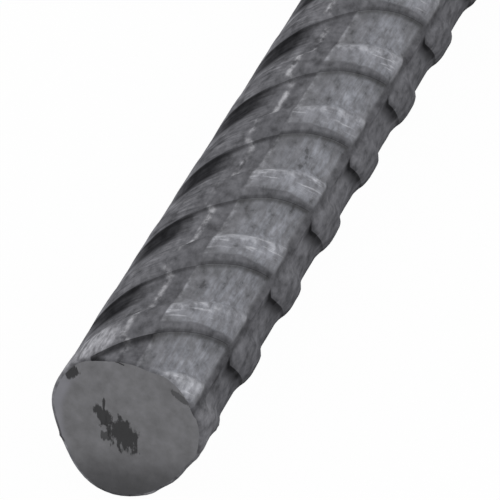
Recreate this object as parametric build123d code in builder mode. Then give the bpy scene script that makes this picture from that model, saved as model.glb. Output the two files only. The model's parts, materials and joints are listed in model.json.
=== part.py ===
"""Deformed steel reinforcing bar of 12.7 mm nominal diameter, cut to a retail length of two feet.

The bar lies along X on the floor plane, with the centre of its footprint at the origin and +Z up.
It is hot rolled between two grooved rolls as one piece: a round with a low seam rib along each side,
where the two rolls meet. The round is the bar's nominal one, which weighs what the ribbed bar weighs.
Both ends are cut by the same leaning shear blade, so the two cuts are parallel and a little out of square.
"""

import os

from build123d import *

# Driving dimensions, in millimetres
bar_length = 609.6
nominal_diameter = 12.7
seam_rib_height = 0.2
seam_rib_round = 1.6

# Driving angles, in degrees: rolls about the bar's axis from straight up towards -Y, and the cuts' lean
seam_roll = 65.0
shear_roll = 22.0
shear_lean = 7.7

# Worked out from the driving dimensions
nominal_radius = nominal_diameter / 2
seam_rib_centre = nominal_radius + seam_rib_height - seam_rib_round
blank_length = bar_length + 2 * nominal_diameter

# The section stands across the bar, centred one nominal radius above the floor, its first axis upwards
section_plane = Plane(origin=(0, 0, nominal_radius), x_dir=(0, 0, 1), z_dir=(1, 0, 0))

# The blade's face looks along the bar, then leans, then is rolled about the bar's axis
blade_normal = Vector(1, 0, 0).rotate(Axis.Y, shear_lean).rotate(Axis.X, shear_roll)

with BuildPart() as rebar:
    # Rolled section: the nominal round, with a seam rib of rounded crest on two opposite sides
    with BuildSketch(section_plane):
        Circle(nominal_radius)
        with PolarLocations(seam_rib_centre, 2, start_angle=seam_roll):
            Circle(seam_rib_round)
    extrude(amount=blank_length / 2, both=True)

    # Sheared ends: each cut keeps the side towards the middle of the bar
    for end, kept_side in ((-1, Keep.TOP), (1, Keep.BOTTOM)):
        shear_cut = Plane(origin=(end * bar_length / 2, 0, nominal_radius), z_dir=blade_normal)
        split(bisect_by=shear_cut, keep=kept_side)

rebar.part.label = "rebar"

os.makedirs("parts", exist_ok=True)
export_step(rebar.part, "parts/rebar.step")
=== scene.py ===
"""Looks of a deformed steel reinforcing bar: its rolled cross ribs, seam ribs and sheared ends, in metres.

The bar lies along X. Angles about it are in degrees from straight up towards -Y, the side that the camera
sees on the right. The bar is drawn as one pitch of its lengthwise outline, repeated along the bar, swept
once round the axis while it climbs three pitches, closed on itself and cut off by the frame's shear planes.
"""

import json
from math import atan2, cos, degrees, radians, sin

import bmesh
import bpy
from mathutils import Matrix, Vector


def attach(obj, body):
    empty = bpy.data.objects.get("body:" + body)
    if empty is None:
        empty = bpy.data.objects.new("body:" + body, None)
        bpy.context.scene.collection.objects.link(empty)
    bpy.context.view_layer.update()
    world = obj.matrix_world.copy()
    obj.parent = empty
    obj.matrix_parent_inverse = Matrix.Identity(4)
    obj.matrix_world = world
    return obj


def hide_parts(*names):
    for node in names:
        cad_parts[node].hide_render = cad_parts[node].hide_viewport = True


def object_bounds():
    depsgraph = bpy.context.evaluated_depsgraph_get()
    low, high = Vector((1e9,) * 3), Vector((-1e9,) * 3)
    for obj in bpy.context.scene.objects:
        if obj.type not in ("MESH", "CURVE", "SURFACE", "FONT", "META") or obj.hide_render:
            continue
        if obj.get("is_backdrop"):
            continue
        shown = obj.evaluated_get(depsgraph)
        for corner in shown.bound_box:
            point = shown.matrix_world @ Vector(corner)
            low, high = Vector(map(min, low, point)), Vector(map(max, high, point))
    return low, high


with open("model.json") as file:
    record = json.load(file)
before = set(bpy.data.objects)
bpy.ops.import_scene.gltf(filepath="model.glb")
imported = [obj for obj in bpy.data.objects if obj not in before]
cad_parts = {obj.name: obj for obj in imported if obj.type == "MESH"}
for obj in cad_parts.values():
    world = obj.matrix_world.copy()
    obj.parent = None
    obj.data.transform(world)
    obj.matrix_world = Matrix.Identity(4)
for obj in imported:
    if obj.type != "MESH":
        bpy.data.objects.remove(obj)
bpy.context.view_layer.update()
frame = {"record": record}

MM = 0.001

# Places taken from the frame
mounts = {mount["name"]: mount for mount in frame["record"]["mounts"]}
nominal_radius = mounts["shank"]["dims"]["r_mm"] * MM
axis_height = mounts["shank"]["pos_m"][2]
axis_point = Vector((0, 0, axis_height))
near_cut = Vector(mounts["near_end"]["pos_m"])
near_facing = Vector(mounts["near_end"]["axis"])
far_cut = Vector(mounts["far_end"]["pos_m"])
far_facing = Vector(mounts["far_end"]["axis"])

# Cross ribs: the core is thinner than the nominal round by what the ribs add in weight
rib_pitch = 8.9 * MM
core_radius = nominal_radius - 0.23 * MM

# One pitch of the bar's lengthwise outline, in millimetres along the bar and above the core. It starts at the
# crease halfway up a rib's near flank, goes over the rib and ends at the crease of the next one
rib_outline = [
    (0.00, 0.23),
    (0.18, 0.29),
    (0.42, 0.36),
    (0.75, 0.43),
    (1.15, 0.48),
    (1.60, 0.50),
    (2.40, 0.50),
    (3.20, 0.49),
    (3.60, 0.42),
    (3.95, 0.26),
    (4.30, 0.09),
    (4.75, 0.01),
    (5.70, 0.00),
    (6.70, 0.00),
    (7.70, 0.00),
    (8.30, 0.09),
    (8.80, 0.20),
]

# What the scale's patterns and its painted shade read across a rib, with its measures in millimetres: how far
# past the crease a place lies, up to a reach, and how near it is to a crease, from one in the crease to none
# on the rib
crease_attributes = ("past_crease", "near_crease")
past_crease_reach = 6.0
crease_width = 0.26
shade_slot_start = 4.9
shade_slot_length = 4.0

# Seam ribs, where the two rolls met, and the plain strips along them where the cross ribs end
seam_angle = 65.0
seam_half_width = 6.0
seam_radius = core_radius + 0.33 * MM
seam_side_kept = 0.4
seam_side_drop = 0.08 * MM

# Rib lines: where a crease crosses straight up, and how the lines climb round each half of the bar
crease_at_top = -5.3 * MM
pitches_per_turn = 3
seam_climb = -0.95 * MM
upper_climb = 12.9 * MM
climb_sway = 0.92
sway_sharpness = 16
upper_steepest_angle = -4.0
lower_steepest_angle = 220.0
upper_start = seam_angle - 180.0 + seam_half_width
upper_steps = 40
lower_steps = 28
seam_steps = 4

# The ribs run out towards the hidden seam: between which angles from it, and what share of them is left
run_out_from = 44.0
run_out_to = 84.0
run_out_share = 0.05

# Unevenness of hot rolling: the width of one soft cloud of noise, its whole swing and the way that it shifts
unevenness = {
    "rib_wander": (4 * MM, 0.25 * MM, "X"),
    "uneven_rolling": (2 * MM, 0.1 * MM, "NORMAL"),
}

# Sheared ends: the rim's rounding, step by step out along the bar with a shrink each, and the places where
# the blade pushed the near end out or in: angle, distance from the cut, amount and reach
rim_rounding = [(0.10 * MM, 0.995), (0.07 * MM, 0.985), (0.03 * MM, 0.975)]
blade_pushes = {
    "crushed_side": (249.0, 0.0, -0.45 * MM, 5.0 * MM),
    "bottom_lip": (195.0, 0.0, 0.93 * MM, 5.0 * MM),
    "side_burr": (146.0, 0.0, 0.2 * MM, 3.0 * MM),
    "side_lip": (103.0, 0.0, 0.3 * MM, 1.8 * MM),
    "pressed_rib": (113.6, 3.1 * MM, -0.52 * MM, 3.2 * MM),
}

# Tolerances: where pitches join, where the sweep closes, for a cut through the mesh, and for one place on
# it or one angle about it
pitch_gap = 0.01 * MM
sweep_gap = 0.03 * MM
cut_tolerance = 0.0001 * MM
same_place = 0.001 * MM
same_angle = 0.5

# Edges that are sharper than this are shaded as edges
smooth_angle = 50.0

# Scale: scratches climb with the rib lines, by this much a radian, and are drawn out round the bar. The zones
# that were rubbed or not repeat after half a turn, counted from an angle, and their edges wander
scratch_climb = 3.7 * MM
scratch_squeeze = 0.16
zone_start = -100.0
zone_wander = 5.0

# A thin bright line painted along the bar: its angle between the ribs, and how far back it lies on their
# crests
bright_line_angle = -6.0
bright_line_shift = 6.0

# Spots on the near face: how much noise frays their outlines, and the reaches, noise added, where they fade
spot_fray = 2.0
spot_end = 2.0
spot_full = 1.72

# Camera, as an offset from the near end's centre, a heading from +X towards +Y and a drop below level
eye_offset = Vector((-288.66, -126.7, 287.3)) * MM
camera_heading = 21.88
camera_drop = 40.5
camera_lens = 387.3
camera_sensor = 36.0
camera_clip = 10 * MM

# Light: two soft lamps, each by its direction from the near end, its distance, size and power, and a surround
lamps = {
    "right_light": (Vector((0.4, -0.7, 0.6)), 1.0, 0.6, 2.2),
    "left_light": (Vector((0.65, 0.7, 0.3)), 1.0, 0.6, 1.8),
}
surround_strength = 0.85

# Floor: its grey for the light, and the share of even white, a little over one, that is seen of it
floor_size = 6.0
floor_paint = 0.3
floor_white_share = 0.95
floor_glow = 1.03


def linear(hex_colour):
    """Linear red, green, blue and alpha of an sRGB hex colour."""
    values = [int(hex_colour[i:i + 2], 16) / 255 for i in (1, 3, 5)]
    return [v / 12.92 if v <= 0.04045 else ((v + 0.055) / 1.055) ** 2.4 for v in values] + [1.0]


def add_node(tree, kind, inputs=None, **settings):
    """Add a node, give it its settings, and set or link its inputs."""
    new = tree.nodes.new(kind)
    for name, value in settings.items():
        setattr(new, name, value)
    for socket, value in (inputs or {}).items():
        if isinstance(value, bpy.types.NodeSocket):
            tree.links.new(value, new.inputs[socket])
        else:
            new.inputs[socket].default_value = value
    return new


def new_material(name):
    """A material with an empty node tree."""
    material = bpy.data.materials.new(name)
    material.use_nodes = True
    material.node_tree.nodes.clear()
    return material, material.node_tree


def sway(angle, steepest):
    """Share of a half's mean climb at an angle: more than one where its rib lines are steepest."""
    return 1 + climb_sway * cos(radians(angle - steepest) / 2) ** sway_sharpness


def sweep_steps():
    """Turns round the bar, from the start of the upper half, each with what the rib lines climb in it."""
    half_span = 180.0 - 2 * seam_half_width
    lower_climb = pitches_per_turn * rib_pitch - upper_climb - 2 * seam_climb
    seam = [(2 * seam_half_width / seam_steps, seam_climb / seam_steps)] * seam_steps
    halves = []
    for first, count, climb, steepest in (
        (upper_start, upper_steps, upper_climb, upper_steepest_angle),
        (upper_start + 180.0, lower_steps, lower_climb, lower_steepest_angle),
    ):
        turn = half_span / count
        shares = [sway(first + (i + 0.5) * turn, steepest) for i in range(count)]
        halves.append([(turn, climb * share / sum(shares)) for share in shares])
    return halves[0] + seam + halves[1] + seam


def rib_share(angle):
    """How much of the full rib height stands at an angle."""
    from_seam = abs((angle - seam_angle) % 360.0 - 180.0)
    risen = min(1.0, max(0.0, (from_seam - run_out_from) / (run_out_to - run_out_from)))
    return run_out_share + (1 - run_out_share) * risen * risen * (3 - 2 * risen)


def crease_amounts(along):
    """What the crease attributes hold at a distance in millimetres along one pitch of the outline."""
    past_crease = min(along, past_crease_reach)
    near_crease = max(0.0, 1 - along / crease_width, (along - shade_slot_start) / shade_slot_length)
    return past_crease, near_crease


def turn_selected(angle):
    """Turn what is selected about the bar's axis, towards -Y: with no window the operator turns backwards."""
    bpy.ops.transform.rotate(value=-radians(angle), orient_axis="X", center_override=axis_point)


def angle_about_bar(point):
    """Angle of a point about the bar."""
    return degrees(atan2(-point.y, point.z - axis_height))


def point_about_bar(angle, radius):
    """The point at an angle about the bar and a distance from its axis, halfway along it."""
    return Vector((0, -radius * sin(radians(angle)), axis_height + radius * cos(radians(angle))))


def edit_vertices(bar, test):
    """Go to edit mode with only the vertices that pass a test selected, and the faces between them."""
    bpy.ops.object.mode_set(mode="EDIT")
    bpy.ops.mesh.select_mode(type="VERT")
    bpy.ops.mesh.select_all(action="DESELECT")
    edited = bmesh.from_edit_mesh(bar.data)
    for vertex in edited.verts:
        vertex.select = test(vertex.co)
    edited.select_flush_mode()
    bmesh.update_edit_mesh(bar.data)


def draw_rib_outline():
    """One pitch of the outline as a chain of edges straight above the axis, repeated past both ends."""
    spare = (pitches_per_turn + 1) * rib_pitch
    first_crease = near_cut.x - spare - pitches_per_turn * rib_pitch
    first_crease -= (first_crease - near_cut.x - crease_at_top) % rib_pitch
    count = int((far_cut.x + spare - first_crease) / rib_pitch) + 1

    # A small plane is merged to the outline's first point, which is then drawn out from point to point
    points = rib_outline + [(rib_pitch / MM, rib_outline[0][1])]
    bpy.ops.object.select_all(action="DESELECT")
    bpy.ops.mesh.primitive_plane_add(size=MM)
    bar = bpy.context.object
    bar.name = bar.data.name = "ribbed_bar"
    bpy.ops.object.mode_set(mode="EDIT")
    bpy.ops.mesh.select_all(action="SELECT")
    bpy.ops.mesh.merge(type="CENTER")
    bpy.ops.transform.translate(value=(first_crease, 0, axis_height + core_radius + points[0][1] * MM))
    for before, after in zip(points, points[1:]):
        move = ((after[0] - before[0]) * MM, 0, (after[1] - before[1]) * MM)
        bpy.ops.mesh.extrude_region_move(TRANSFORM_OT_translate={"value": move})
    bpy.ops.object.mode_set(mode="OBJECT")

    order = sorted(range(len(points)), key=lambda i: bar.data.vertices[i].co.x)
    for column, name in enumerate(crease_attributes):
        amounts = bar.data.attributes.new(name, "FLOAT", "POINT")
        for index, (along, height) in zip(order, points):
            amounts.data[index].value = crease_amounts(along % (rib_pitch / MM))[column]

    repeat = bar.modifiers.new("pitches", "ARRAY")
    repeat.count = count
    repeat.use_relative_offset = False
    repeat.use_constant_offset = True
    repeat.constant_offset_displace = (rib_pitch, 0, 0)
    repeat.use_merge_vertices = True
    repeat.merge_threshold = pitch_gap
    bpy.ops.object.modifier_apply(modifier=repeat.name)
    return bar


def sweep_round(bar):
    """Sweep the outline once round the axis, climbing as the rib lines do, and close it on itself."""
    steps = sweep_steps()
    # The chain lies straight above the axis, so it is first turned and slid to the start of the upper half
    climb_to_top = 0.0
    angle = upper_start
    for turn, climb in steps:
        climb_to_top += climb * min(1.0, max(0.0, -angle / turn))
        angle += turn
    bpy.ops.object.mode_set(mode="EDIT")
    bpy.ops.mesh.select_all(action="SELECT")
    turn_selected(upper_start)
    bpy.ops.transform.translate(value=(-climb_to_top, 0, 0))

    angle = upper_start
    share = rib_share(angle)
    crest = point_about_bar(angle, nominal_radius)
    bpy.ops.transform.resize(value=(1, share, share), center_override=crest)
    for turn, climb in steps:
        bpy.ops.mesh.extrude_region_move(TRANSFORM_OT_translate={"value": (climb, 0, 0)})
        turn_selected(turn)
        angle += turn
        swell = rib_share(angle) / share
        share = rib_share(angle)
        crest = point_about_bar(angle, nominal_radius)
        bpy.ops.transform.resize(value=(1, swell, swell), center_override=crest)
    bpy.ops.mesh.select_all(action="SELECT")
    bpy.ops.mesh.remove_doubles(threshold=sweep_gap)
    bpy.ops.mesh.normals_make_consistent(inside=False)
    bpy.ops.object.mode_set(mode="OBJECT")


def flatten_seams(bar):
    """Press the strips along the seams to the seam rib's height, fully on its crest and partly beside it."""
    side = seam_half_width / 2
    for seam in (seam_angle, seam_angle - 180.0):
        for offset, kept, drop in (
            (-side, seam_side_kept, seam_side_drop),
            (0.0, 0.0, 0.0),
            (side, seam_side_kept, seam_side_drop),
        ):
            angle = seam + offset
            crest = point_about_bar(angle, seam_radius - drop)
            edit_vertices(bar, lambda co: abs(angle_about_bar(co) - angle) < same_angle)
            bpy.ops.transform.resize(value=(1, kept, kept), center_override=crest)
            bpy.ops.object.mode_set(mode="OBJECT")


def roughen(bar, name, size, depth, direction):
    """Shift the surface by soft cloud noise: depth is the whole swing, size the width of one cloud."""
    clouds = bpy.data.textures.new(name, "CLOUDS")
    clouds.noise_scale = size
    clouds.noise_depth = 2
    shift = bar.modifiers.new(name, "DISPLACE")
    shift.texture = clouds
    shift.texture_coords = "LOCAL"
    shift.direction = direction
    shift.mid_level = 0.5
    shift.strength = depth
    bpy.ops.object.modifier_apply(modifier=shift.name)


def cut_end(bar, cut, facing):
    """Shear the bar off just short of a plane, close the cut and draw its face out to the plane, rounded."""
    depth = sum(rise for rise, shrink in rim_rounding)
    short_cut = cut - facing * depth
    bpy.ops.object.mode_set(mode="EDIT")
    bpy.ops.mesh.select_all(action="SELECT")
    bpy.ops.mesh.bisect(
        plane_co=short_cut, plane_no=facing, use_fill=True, clear_outer=True, threshold=cut_tolerance,
    )
    bpy.ops.object.mode_set(mode="OBJECT")
    edit_vertices(bar, lambda co: abs((co - short_cut).dot(facing)) < same_place)
    bpy.ops.mesh.dissolve_faces()
    bar.active_material_index = 1
    bpy.ops.object.material_slot_assign()
    for rise, shrink in rim_rounding:
        bpy.ops.mesh.extrude_region_move(TRANSFORM_OT_translate={"value": facing * rise})
        bpy.ops.transform.resize(value=(shrink, shrink, shrink), center_override=cut)
    bpy.ops.mesh.select_all(action="SELECT")
    bpy.ops.mesh.normals_make_consistent(inside=False)
    bpy.ops.object.mode_set(mode="OBJECT")


def push_end(bar, cut, facing, angle, from_cut, amount, reach):
    """Push a place at or near an end's rim outwards, or inwards, and what lies round it less and less."""
    radial = point_about_bar(angle, 1.0) - axis_point
    on_cut = (radial - facing * radial.dot(facing)).normalized()
    target = cut + on_cut * nominal_radius - facing * from_cut
    nearest = min((vertex.co for vertex in bar.data.vertices), key=lambda co: (co - target).length).copy()
    edit_vertices(bar, lambda co: (co - nearest).length < same_place)
    bpy.ops.transform.translate(
        value=radial * amount,
        use_proportional_edit=True,
        proportional_edit_falloff="SMOOTH",
        proportional_size=reach,
    )
    bpy.ops.object.mode_set(mode="OBJECT")


def make_bar():
    """The whole bar, riding on the frame in place of its plain solid."""
    bar = draw_rib_outline()
    bar.data.materials.append(mill_scale_steel())
    bar.data.materials.append(sheared_steel())
    sweep_round(bar)
    flatten_seams(bar)
    for name, (size, depth, direction) in unevenness.items():
        roughen(bar, name, size, depth, direction)
    cut_end(bar, near_cut, near_facing)
    cut_end(bar, far_cut, far_facing)
    for angle, from_cut, amount, reach in blade_pushes.values():
        push_end(bar, near_cut, near_facing, angle, from_cut, amount, reach)
    bpy.ops.object.select_all(action="DESELECT")
    bar.select_set(True)
    bpy.context.view_layer.objects.active = bar
    bpy.ops.object.shade_smooth_by_angle(angle=radians(smooth_angle))
    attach(bar, "root")
    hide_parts("rebar")


def add_about_bar(tree, place):
    """Places about the bar by name: along it, angle, distance from its axis and height above the axis."""
    centred = add_node(tree, "ShaderNodeVectorMath", {0: place, 1: -axis_point}, operation="ADD").outputs[0]
    along, sideways, height = add_node(tree, "ShaderNodeSeparateXYZ", {0: centred}).outputs
    right = add_product(tree, sideways, -1.0)
    angle = add_node(tree, "ShaderNodeMath", {0: right, 1: height}, operation="ARCTAN2").outputs[0]
    flat = add_node(tree, "ShaderNodeVectorMath", {
        0: centred, 1: (0, 1, 1),
    }, operation="MULTIPLY").outputs[0]
    radius = add_node(tree, "ShaderNodeVectorMath", {0: flat}, operation="LENGTH").outputs["Value"]
    return {"along": along, "angle": angle, "radius": radius, "height": height}


def add_patterns(tree, place, kinds):
    """Noise patterns by name, each from its stretch along the three axes, its grain in mm and its detail."""
    patterns = {}
    for name, (stretch, grain, detail) in kinds.items():
        stretched = add_node(tree, "ShaderNodeMapping", {"Vector": place, "Scale": stretch}).outputs[0]
        patterns[name] = add_node(tree, "ShaderNodeTexNoise", {
            "Vector": stretched, "Scale": 1 / (grain * MM), "Detail": detail, "Roughness": 0.6,
        }).outputs[0]
    return patterns


def add_masks(tree, kinds):
    """Soft masks by name, each rising from nothing to one between two values of what it is read from."""
    masks = {}
    for name, (value, low, high) in kinds.items():
        masks[name] = add_node(tree, "ShaderNodeMapRange", {
            "Value": value, "From Min": low, "From Max": high,
        }, interpolation_type="SMOOTHSTEP").outputs[0]
    return masks


def add_product(tree, *factors):
    """Several shares multiplied together, each a socket or a number."""
    product = factors[0]
    for factor in factors[1:]:
        product = add_node(tree, "ShaderNodeMath", {0: product, 1: factor}, operation="MULTIPLY").outputs[0]
    return product


def add_layers(tree, ground, masks, layers):
    """Colours laid over a ground colour one by one, each at a share of where all the masks it names meet."""
    colour = ground
    for tint, share, *names in layers:
        laid = add_product(tree, *(masks[name] for name in names), share)
        colour = add_node(tree, "ShaderNodeMix", {
            "Factor": laid, 6: colour, 7: linear(tint),
        }, data_type="RGBA").outputs[2]
    return colour


def add_scale_places(tree):
    """Places on the rolled surface by name: about the bar, in noise patterns, by zone and across a rib."""
    place = add_node(tree, "ShaderNodeTexCoord").outputs["Object"]
    at = add_about_bar(tree, place)
    at.update(add_patterns(tree, place, {
        "clouds": ((0.5, 1, 1), 4.0, 2.0),
        "mottle": ((0.7, 1, 1), 0.8, 4.0),
        "streaks": ((0.18, 1, 1), 0.32, 3.0),
        "breaks": ((1, 0.2, 0.2), 1.6, 1.0),
    }))
    off_rib_line = add_node(tree, "ShaderNodeMath", {
        0: at["angle"], 1: -scratch_climb, 2: at["along"],
    }, operation="MULTIPLY_ADD").outputs[0]
    round_bar = add_product(tree, at["angle"], core_radius * scratch_squeeze)
    rib_place = add_node(tree, "ShaderNodeCombineXYZ", {0: off_rib_line, 1: round_bar}).outputs[0]
    at.update(add_patterns(tree, rib_place, {"scratches": ((1, 1, 1), 0.35, 3.0)}))

    # Zones: the angle about the bar, with some wander, folded into the half turn from their first angle
    from_start = add_node(tree, "ShaderNodeMath", {
        0: at["clouds"], 1: radians(zone_wander), 2: radians(-zone_start - zone_wander / 2),
    }, operation="MULTIPLY_ADD").outputs[0]
    turned = add_node(tree, "ShaderNodeMath", {0: at["angle"], 1: from_start}, operation="ADD").outputs[0]
    folded = add_node(tree, "ShaderNodeMath", {
        0: turned, 1: radians(180.0),
    }, operation="FLOORED_MODULO").outputs[0]
    at["zone"] = add_node(tree, "ShaderNodeMath", {
        0: folded, 1: radians(zone_start),
    }, operation="ADD").outputs[0]
    off_middle = add_node(tree, "ShaderNodeMath", {
        0: folded, 1: radians(90.0),
    }, operation="SUBTRACT").outputs[0]
    at["off_middle"] = add_node(tree, "ShaderNodeMath", {0: off_middle}, operation="ABSOLUTE").outputs[0]

    # Across a rib: the rubbed part of a crest starts further past the crease where the rubbed stripe starts
    for name in crease_attributes:
        at[name] = add_node(tree, "ShaderNodeAttribute", attribute_name=name).outputs["Fac"]
    unrubbed = add_node(tree, "ShaderNodeMapRange", {
        "Value": at["zone"],
        "From Min": radians(8.0),
        "From Max": radians(58.0),
        "To Min": 0.85,
        "To Max": 0.1,
    }).outputs[0]
    for name, plain, swing in (
        ("unrubbed", unrubbed, 0.9),
        ("ragged_past_crease", at["past_crease"], 1.6),
        ("ragged_near_crease", at["near_crease"], 0.3),
    ):
        at[name] = add_node(tree, "ShaderNodeMath", {
            0: at["mottle"], 1: swing, 2: plain,
        }, operation="MULTIPLY_ADD").outputs[0]
    at["past_unrubbed"] = add_node(tree, "ShaderNodeMath", {
        0: at["past_crease"], 1: at["unrubbed"],
    }, operation="SUBTRACT").outputs[0]
    return at


def add_scale_masks(tree, at):
    """Masks on the rolled surface by name: zones about the bar, painted shade in lines and slots along the
    ribs, and wear.
    """
    zone_edges = {
        "top_shade_from": (-12.0, -5.0),
        "rub_from": (6.8, 8.6),
        "rub_to": (62.5, 58.0),
        "rub_sheen_rise": (2.0, 38.0),
        "rub_sheen_fall": (75.0, 42.0),
        "rub_fringe": (12.0, 8.0),
        "crest_to": (66.0, 50.0),
        "left_from": (-70.0, -50.0),
        "left_to": (-9.0, -22.0),
        "shadow_band_from": (-75.0, -42.0),
        "shadow_band_to": (-9.0, -31.0),
        "seam_from": (58.5, 61.5),
        "seam_to": (69.0, 64.0),
        "right_rise": (5.0, 50.0),
    }
    angle_edges = {
        "lit_limb_from": (-115.0, -85.0),
        "lit_limb_to": (-42.0, -60.0),
        "near_side_from": (62.0, 68.0),
        "near_side_to": (160.0, 130.0),
        "first_slot_to": (12.0, 8.0),
        "side_shadow_slot_to": (104.0, 86.0),
    }
    kinds = {
        "right": (at["off_middle"], radians(74.0), radians(77.0)),
        "underside_shade": (at["height"], -1.15 * MM, -2.95 * MM),
        "near_end": (at["along"], near_cut.x + 5.5 * MM, near_cut.x + 3.0 * MM),
        "first_slot": (at["along"], near_cut.x + 9.0 * MM, near_cut.x + 6.0 * MM),
        "crest": (at["radius"], core_radius + 0.05 * MM, core_radius + 0.5 * MM),
        "flank": (at["past_unrubbed"], 0.15, -0.1),
        "rubbed_in": (at["past_unrubbed"], -0.1, 1.5),
        "polish_to": (at["ragged_past_crease"], 4.9, 4.3),
        "far_edge": (at["ragged_past_crease"], 3.4, 4.2),
        "crease_side_shade": (at["past_crease"], 0.55, 0.15),
        "crease_shade_line": (at["near_crease"], 0.84, 0.96),
        "crease_shade": (at["near_crease"], 0.72, 0.92),
        "shadow_band": (at["ragged_near_crease"], 0.32, 0.62),
        "shade_slot": (at["ragged_near_crease"], 0.7, 1.0),
        "side_shadow_slot": (at["ragged_near_crease"], 0.74, 1.06),
        "streak": (at["streaks"], 0.36, 0.64),
        "pit": (at["mottle"], 0.38, 0.28),
        "blotch": (at["mottle"], 0.35, 0.65),
        "scuff": (at["clouds"], 0.42, 0.58),
        "scratch": (at["scratches"], 0.52, 0.7),
        "gouge": (at["scratches"], 0.5, 0.32),
        "break": (at["breaks"], 0.35, 0.55),
    }
    for value, edges in ((at["zone"], zone_edges), (at["angle"], angle_edges)):
        kinds.update({name: (value, radians(low), radians(high)) for name, (low, high) in edges.items()})
    masks = add_masks(tree, kinds)

    # The bright line fades out to both sides, and the seam is where its two edges overlap
    shifted = add_node(tree, "ShaderNodeMath", {
        0: masks["crest"], 1: radians(bright_line_shift), 2: at["angle"],
    }, operation="MULTIPLY_ADD").outputs[0]
    from_line = add_node(tree, "ShaderNodeMath", {
        0: shifted, 1: radians(bright_line_angle),
    }, operation="SUBTRACT").outputs[0]
    off_line = add_node(tree, "ShaderNodeMath", {0: from_line}, operation="ABSOLUTE").outputs[0]
    masks.update(add_masks(tree, {"bright_line": (off_line, radians(3.4), radians(0.4))}))
    masks["seam"] = add_product(tree, masks["seam_from"], masks["seam_to"])

    # Shares that follow a mask in part: the mask, what it adds and what stands without it
    for name, (mask, added, base) in {
        "off_seam": ("seam", -0.9, 1.0),
        "off_end": ("near_end", -0.9, 1.0),
        "off_flank": ("flank", -0.85, 1.0),
        "streaked": ("streak", 0.7, 0.3),
        "crease_shade_share": ("right_rise", 0.3, 0.45),
    }.items():
        masks[name] = add_node(tree, "ShaderNodeMath", {
            0: masks[mask], 1: added, 2: base,
        }, operation="MULTIPLY_ADD").outputs[0]

    # The rubbed stripe, and the rib crests in it
    masks["rubbed"] = add_product(tree, masks["rub_from"], masks["rub_to"], masks["off_flank"])
    masks["rubbed_crest"] = add_product(
        tree, masks["rubbed"], masks["polish_to"], masks["rubbed_in"], masks["crest_to"],
    )
    return masks


def mill_scale_steel():
    """Hot-rolled steel under mill scale: dull blue-grey oxide, rubbed paler in a stripe along the bar and on
    the rib crests in it. Painted shadow lies as black bands beside the ribs on the sides that nothing rubbed,
    and painted shade in the creases, in slots before them, along the top and on the underside; painted light
    makes the left side paler and lays a sheen across the stripe."""
    material, tree = new_material("hot_rolled_mill_scale")
    at = add_scale_places(tree)
    masks = add_scale_masks(tree, at)
    ground = add_node(tree, "ShaderNodeMix", {
        "Factor": at["clouds"], 6: linear("#5c5c60"), 7: linear("#717175"),
    }, data_type="RGBA").outputs[2]
    colour = add_layers(tree, ground, masks, [
        # Painted shade along the top, where the bar faces up, reaching over the rubbed stripe
        ("#3a3a3d", 0.22, "top_shade_from", "rub_to"),
        ("#7a7a7e", 0.7, "near_side_from", "near_side_to", "near_end"),
        # Painted light: the left side paler towards its outline, where light from the left falls
        ("#88888d", 0.8, "lit_limb_from", "lit_limb_to"),
        ("#8c8c90", 0.5, "left_from", "left_to", "scratch"),
        ("#3c3c3f", 0.5, "left_from", "left_to", "gouge"),
        ("#a8a8ad", 0.9, "left_from", "left_to", "crest", "near_end", "streaked"),
        # The rubbed stripe: worn paler, with a painted sheen rising and falling across it
        ("#7d7f86", 1.0, "rubbed", "streaked", "rub_sheen_rise", "rub_sheen_fall"),
        ("#444448", 0.6, "rubbed", "pit"),
        ("#9c9da3", 0.4, "rubbed", "rub_fringe", "blotch"),
        ("#8b8c93", 0.32, "rubbed_crest"),
        ("#b0b1b7", 0.3, "rubbed_crest", "far_edge", "blotch"),
        ("#b8b9bf", 0.8, "rubbed_crest", "scratch", "scuff"),
        ("#a8a9af", 0.75, "rubbed_crest", "near_end", "streaked"),
        ("#acacb0", 0.7, "bright_line", "break", "blotch"),
        # Painted shadow: black bands beside the ribs on the left side, where the ribs shade the core
        ("#161618", 0.85, "shadow_band", "shadow_band_from", "shadow_band_to", "off_end"),
        ("#161617", 0.75, "crease_shade", "first_slot", "first_slot_to"),
        ("#2c2c2e", 0.4, "seam"),
        # Painted shadow in the slots before the ribs on the right side
        ("#161617", 0.68, "side_shadow_slot", "right", "side_shadow_slot_to", "off_seam", "off_end"),
        # Painted shade in the slots before the creases in the rubbed stripe
        ("#161617", 0.2, "shade_slot", "rubbed"),
        # Painted shade in the creases: just past them, and a dark line in them
        ("#161617", 0.4, "crease_side_shade", "rub_from", "off_seam"),
        ("#161617", 1.0, "crease_shade_line", "crease_shade_share", "off_seam", "off_end"),
        # Painted shade on the underside
        ("#2e2e30", 0.55, "underside_shade", "off_end"),
    ])

    # The mottling makes all of it paler and darker
    tone = add_node(tree, "ShaderNodeMapRange", {
        "Value": at["mottle"], "From Min": 0.3, "From Max": 0.7, "To Min": 0.58, "To Max": 1.42,
    }).outputs[0]
    toned = add_node(tree, "ShaderNodeVectorMath", {0: colour, "Scale": tone}, operation="SCALE").outputs[0]

    # Fine streaks from the rolls, and pits that show more where the scale is rubbed
    streak_relief = add_node(tree, "ShaderNodeBump", {
        "Height": at["streaks"], "Distance": 0.04 * MM, "Strength": 0.5,
    }).outputs[0]
    pitting = add_node(tree, "ShaderNodeMath", {
        0: masks["rubbed"], 1: 0.35, 2: 0.25,
    }, operation="MULTIPLY_ADD").outputs[0]
    relief = add_node(tree, "ShaderNodeBump", {
        "Height": at["mottle"], "Distance": 0.1 * MM, "Strength": pitting, "Normal": streak_relief,
    }).outputs[0]
    shader = add_node(tree, "ShaderNodeBsdfPrincipled", {
        "Base Color": toned,
        "Roughness": 0.5,
        "Specular IOR Level": add_product(tree, masks["rubbed"], 0.35),
        "Normal": relief,
    })
    add_node(tree, "ShaderNodeOutputMaterial", {"Surface": shader.outputs[0]})
    return material


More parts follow.
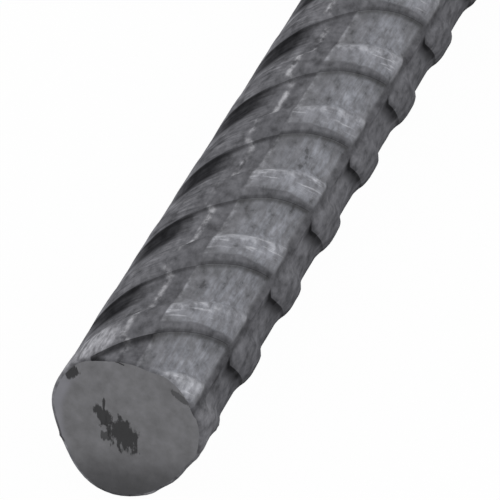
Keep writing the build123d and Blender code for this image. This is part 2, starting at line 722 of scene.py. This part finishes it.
def add_spots(tree, place, ragged, spots):
    """Masks of ragged oval spots on an end face by name, each from its centre's Y and Z off the axis, its lean
    in degrees, and its half width and half length, with all lengths in millimetres."""
    reaches = {}
    for name, (across, up, lean, half_width, half_length) in spots.items():
        laid = add_node(tree, "ShaderNodeMapping", {
            "Vector": place, "Location": (0, across * MM, axis_height + up * MM),
            "Rotation": (radians(lean), 0, 0), "Scale": (1, half_width * MM, half_length * MM),
        }, vector_type="TEXTURE").outputs[0]
        flat = add_node(tree, "ShaderNodeVectorMath", {
            0: laid, 1: (0, 1, 1),
        }, operation="MULTIPLY").outputs[0]
        reach = add_node(tree, "ShaderNodeVectorMath", {0: flat}, operation="LENGTH").outputs["Value"]
        reaches[name] = add_node(tree, "ShaderNodeMath", {
            0: ragged, 1: spot_fray, 2: reach,
        }, operation="MULTIPLY_ADD").outputs[0]
    return add_masks(tree, {name: (reach, spot_end, spot_full) for name, reach in reaches.items()})


def sheared_steel():
    """Bare steel torn off by the shear blade: even matte grey with a fine grain, darker towards the bottom by
    painted shade. On the near face there is a paler rim where the blade rolled the edge over, a ragged smear
    of grease near the middle, and painted shade in a chip, a burr and a fold at the rim."""
    material, tree = new_material("sheared_bare_steel")
    place = add_node(tree, "ShaderNodeTexCoord").outputs["Object"]
    at = add_about_bar(tree, place)
    # The grain is drawn coarser than that of a real torn face, which is too fine to show
    at.update(add_patterns(tree, place, {
        "clouds": ((1, 1, 1), 1.2, 4.0),
        "grain": ((1, 1, 1), 0.4, 3.0),
        "ragged": ((1, 1, 0.4), 0.45, 3.0),
    }))
    slant_height = add_node(tree, "ShaderNodeVectorMath", {0: place, 1: (0, 0.17, 1)}, operation="DOT_PRODUCT")
    masks = add_masks(tree, {
        "near": (at["along"], 0.0, -10 * MM),
        "low": (slant_height.outputs["Value"], 4.6 * MM, 0.0),
        "rim": (at["radius"], 4.9 * MM, 5.6 * MM),
        "rim_from": (at["angle"], radians(-135.0), radians(-100.0)),
        "rim_to": (at["angle"], radians(-45.0), radians(-65.0)),
    })
    masks.update(add_spots(tree, place, at["ragged"], {
        "smear": (0.0, -0.95, -34.0, 1.4, 1.9),
        "smear_tail": (1.65, 0.35, -45.0, 0.7, 1.2),
        "smear_foot": (1.5, -1.5, 60.0, 0.5, 0.65),
        "smear_spike": (1.73, 1.5, 0.0, 0.16, 0.8),
        "chip_shade": (4.75, 3.95, 0.0, 0.85, 0.8),
        "burr_shadow": (-4.65, 3.75, -57.0, 0.32, 1.25),
        "fold_shade": (0.6, 5.75, -78.0, 0.12, 0.6),
    }))
    ground = add_node(tree, "ShaderNodeMix", {
        "Factor": at["clouds"], 6: linear("#646465"), 7: linear("#97979b"),
    }, data_type="RGBA").outputs[2]
    colour = add_layers(tree, ground, masks, [
        ("#9a9aa2", 0.6, "rim", "rim_from", "rim_to", "near"),
        # Painted shade towards the bottom of the face
        ("#3a3a3c", 0.68, "low"),
        ("#333334", 0.9, "smear", "near"),
        ("#333334", 0.9, "smear_tail", "near"),
        ("#333334", 0.75, "smear_foot", "near"),
        ("#333334", 0.9, "smear_spike", "near"),
        # Painted shade in a chip, a burr and a fold at the rim
        ("#333334", 0.9, "chip_shade", "near"),
        ("#333334", 0.6, "burr_shadow", "near"),
        ("#333334", 0.9, "fold_shade", "near"),
    ])
    relief = add_node(tree, "ShaderNodeBump", {
        "Height": at["grain"], "Distance": 0.06 * MM, "Strength": 0.4,
    }).outputs[0]
    shader = add_node(tree, "ShaderNodeBsdfPrincipled", {
        "Base Color": colour,
        "Roughness": 0.75,
        "Specular IOR Level": 0.25,
        "Normal": relief,
    })
    add_node(tree, "ShaderNodeOutputMaterial", {"Surface": shader.outputs[0]})
    return material


def white_floor():
    """Matt paint that the camera and reflections see mostly as even white, with the bar's shadow kept."""
    material, tree = new_material("white_floor_paint")
    paint = add_node(tree, "ShaderNodeBsdfDiffuse", {"Color": (floor_paint, floor_paint, floor_paint, 1)})
    white = add_node(tree, "ShaderNodeEmission", {"Color": (1, 1, 1, 1), "Strength": floor_glow})
    ray = add_node(tree, "ShaderNodeLightPath")
    seen = ray.outputs["Is Camera Ray"]
    for way in ("Is Glossy Ray", "Is Transmission Ray"):
        seen = add_node(tree, "ShaderNodeMath", {
            0: seen, 1: ray.outputs[way],
        }, operation="MAXIMUM").outputs[0]
    mixed = add_node(tree, "ShaderNodeMixShader", {
        0: add_product(tree, seen, floor_white_share), 1: paint.outputs[0], 2: white.outputs[0],
    })
    add_node(tree, "ShaderNodeOutputMaterial", {"Surface": mixed.outputs[0]})
    return material


def make_floor(height):
    """A white floor under the bar."""
    bpy.ops.object.select_all(action="DESELECT")
    bpy.ops.mesh.primitive_plane_add(size=floor_size, location=(0, 0, height))
    floor = bpy.context.object
    floor.name = "floor"
    floor.data.materials.append(white_floor())
    floor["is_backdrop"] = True


def light_scene():
    """Soft lamps on both sides of the bar, and an even surround."""
    for name, (direction, distance, size, power) in lamps.items():
        towards = direction.normalized()
        bpy.ops.object.light_add(type="AREA", location=near_cut + towards * distance)
        lamp = bpy.context.object
        lamp.name = name
        lamp.rotation_euler = (-towards).to_track_quat("-Z", "Y").to_euler()
        lamp.data.size = size
        lamp.data.energy = power
    world = bpy.data.worlds.new("even_surround")
    bpy.context.scene.world = world
    world.use_nodes = True
    backdrop = world.node_tree.nodes["Background"]
    backdrop.inputs["Color"].default_value = (1, 1, 1, 1)
    backdrop.inputs["Strength"].default_value = surround_strength


def place_camera():
    """The photograph's view: a long lens looking down along the bar from its near end."""
    turn = (radians(90 - camera_drop), 0, radians(camera_heading - 90))
    bpy.ops.object.camera_add(location=near_cut + eye_offset, rotation=turn)
    camera = bpy.context.object
    camera.name = "photo_view"
    camera.data.lens = camera_lens
    camera.data.sensor_width = camera_sensor
    camera.data.clip_start = camera_clip
    bpy.context.scene.camera = camera


make_bar()
make_floor(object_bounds()[0].z)
light_scene()
place_camera()
bpy.context.scene.view_settings.view_transform = "Standard"
